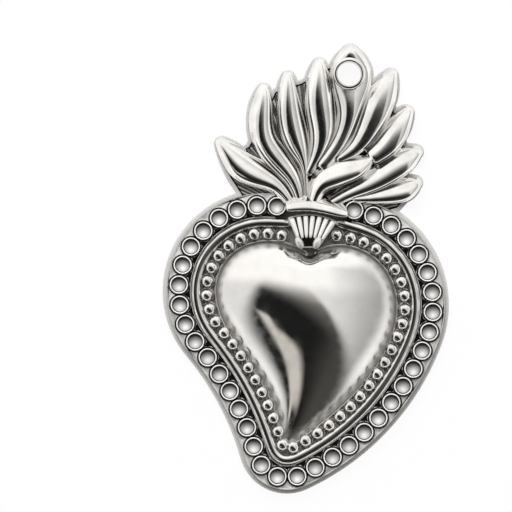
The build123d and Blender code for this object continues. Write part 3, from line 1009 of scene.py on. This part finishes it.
off_bar = calc(tree, "ABSOLUTE", calc(tree, "SUBTRACT", upward, BAR_AT))
bar = times(tree, fade(tree, off_bar, *BAR_HALF), fade(tree, across, *BAR_RIGHT),
            ease(tree, across, *BAR_LEFT))
off_post = calc(tree, "ABSOLUTE", calc(tree, "SUBTRACT", across, POST_AT))
post = times(tree, fade(tree, off_post, *POST_HALF), fade(tree, upward, *POST_HIGH),
             ease(tree, upward, *POST_LOW))
low_right = calc(tree, "MULTIPLY_ADD", across, ROOM_SLANT, times(tree, upward, -1.0))
high_right = calc(tree, "MULTIPLY_ADD", across, ROOM_SLANT, upward)
room = blend(tree, ease(tree, low_right, *LOW_RIGHT), grey(0.012), grey(0.06, 0.15))
room = blend(tree, ease(tree, high_right, *HIGH_RIGHT), room, grey(0.2, 0.12))
room = blend(tree, calc(tree, "MAXIMUM", bar, post), room, grey(0.6, 0.12))
print("room painted with", len(tree.nodes), "nodes in all")

# %% [markdown]
# ## The light tent: its cloth
#
# The rest is white cloth, lit from above: brightest high up and near the table, and
# greyer towards the right, which shades the heart's right side.

# %% The tent's cloth
CLOTH_HIGH = (15.0, 42.0)
CLOTH_RIGHT = (20.0, 80.0)
CLOTH_LOW = (0.32, 0.44)

cloth = blend(tree, ease(tree, upward, *CLOTH_HIGH), grey(0.78, 0.03), grey(1.05, 0.03))
cloth = blend(tree, ease(tree, across, *CLOTH_RIGHT), cloth, grey(0.3, 0.03))
cloth = blend(tree, ease(tree, axes["Z"], *CLOTH_LOW), grey(1.1, 0.03), cloth)
tent = put(tree, "ShaderNodeBackground", {"Color": blend(tree, opening, cloth, room), "Strength": 1.0})
put(tree, "ShaderNodeOutputWorld", {"Surface": tent.outputs[0]})
print("tent painted with", len(tree.nodes), "nodes in all")

# %% [markdown]
# ## The key light
#
# The tent alone lights everything evenly. One soft area light from the upper left gives
# the dishes their shading and the charm its shadow. It is hidden from reflections, or
# it would show as a white square in the heart.

# %% The key light
KEY_FROM = Vector((-0.1, 0.35, 0.45))
KEY_SIZE = 0.35
KEY_WATTS = 2.8

key = bpy.data.objects.new("key", bpy.data.lights.new("key", "AREA"))
bpy.context.scene.collection.objects.link(key)
key.location = KEY_FROM
key.rotation_euler = (-KEY_FROM).to_track_quat("-Z", "Y").to_euler()
key.data.size = KEY_SIZE
key.data.energy = KEY_WATTS
key.visible_glossy = False
print("key light", round(KEY_FROM.length, 2), "m away")

# %% [markdown]
# ## The floor
#
# The charm lies on white paper. The paper has to look white and still carry a shadow,
# so what the camera and the reflections see is mostly a plain white glow, mixed with a
# little real paper. Seen from below it is clear, so that the charm's back can be viewed.

# %% The floor
FLOOR_HALF = 0.6
FLOOR_DROP = 0.01
FIBRE_SCALE = 300.0
GLOW_SHARE = 0.94

material, tree, surface = new_finish("white_paper")
place = put(tree, "ShaderNodeTexCoord").outputs["Object"]
fibre = put(tree, "ShaderNodeTexNoise", {"Vector": place, "Scale": FIBRE_SCALE}).outputs["Fac"]
paper = put(tree, "ShaderNodeBsdfDiffuse", {"Color": blend(tree, fibre, grey(0.88), grey(0.92))})
glow = put(tree, "ShaderNodeEmission", {"Color": grey(1.0), "Strength": 1.0})
rays = put(tree, "ShaderNodeLightPath").outputs
seen = calc(tree, "MAXIMUM", rays["Is Camera Ray"], rays["Is Glossy Ray"])
seen = times(tree, calc(tree, "MAXIMUM", seen, rays["Is Transmission Ray"]), GLOW_SHARE)
above = put(tree, "ShaderNodeMixShader", {0: seen, 1: paper.outputs[0], 2: glow.outputs[0]})
clear = put(tree, "ShaderNodeBsdfTransparent")
from_below = put(tree, "ShaderNodeNewGeometry").outputs["Backfacing"]
both = put(tree, "ShaderNodeMixShader", {0: from_below, 1: above.outputs[0], 2: clear.outputs[0]})
tree.links.new(both.outputs[0], surface)

bm = bmesh.new()
bmesh.ops.create_grid(bm, x_segments=1, y_segments=1, size=FLOOR_HALF)
bmesh.ops.translate(bm, vec=(0, 0, -FLOOR_DROP * MM), verts=bm.verts)
mesh = bpy.data.meshes.new("floor")
bm.to_mesh(mesh)
bm.free()
mesh.materials.append(material)
floor = bpy.data.objects.new("floor", mesh)
bpy.context.scene.collection.objects.link(floor)
print("floor", 2 * FLOOR_HALF, "m wide")

# %% [markdown]
# ## The camera
#
# The camera looks straight down from far above, so that hardly anything is
# foreshortened. Its lens follows from the width of the view. The Standard view
# transform keeps white paper white.

# %% The camera
VIEW_X = -6.617
VIEW_Y = 1.794
VIEW_WIDTH = 66.56
VIEW_HEIGHT = 600.0

camera = bpy.data.objects.new("camera", bpy.data.cameras.new("camera"))
bpy.context.scene.collection.objects.link(camera)
camera.location = Vector((VIEW_X, VIEW_Y, VIEW_HEIGHT)) * MM
camera.data.lens = camera.data.sensor_width * VIEW_HEIGHT / VIEW_WIDTH
bpy.context.scene.camera = camera
bpy.context.scene.view_settings.view_transform = "Standard"
print("camera", VIEW_HEIGHT, "mm up, lens", round(camera.data.lens), "mm")
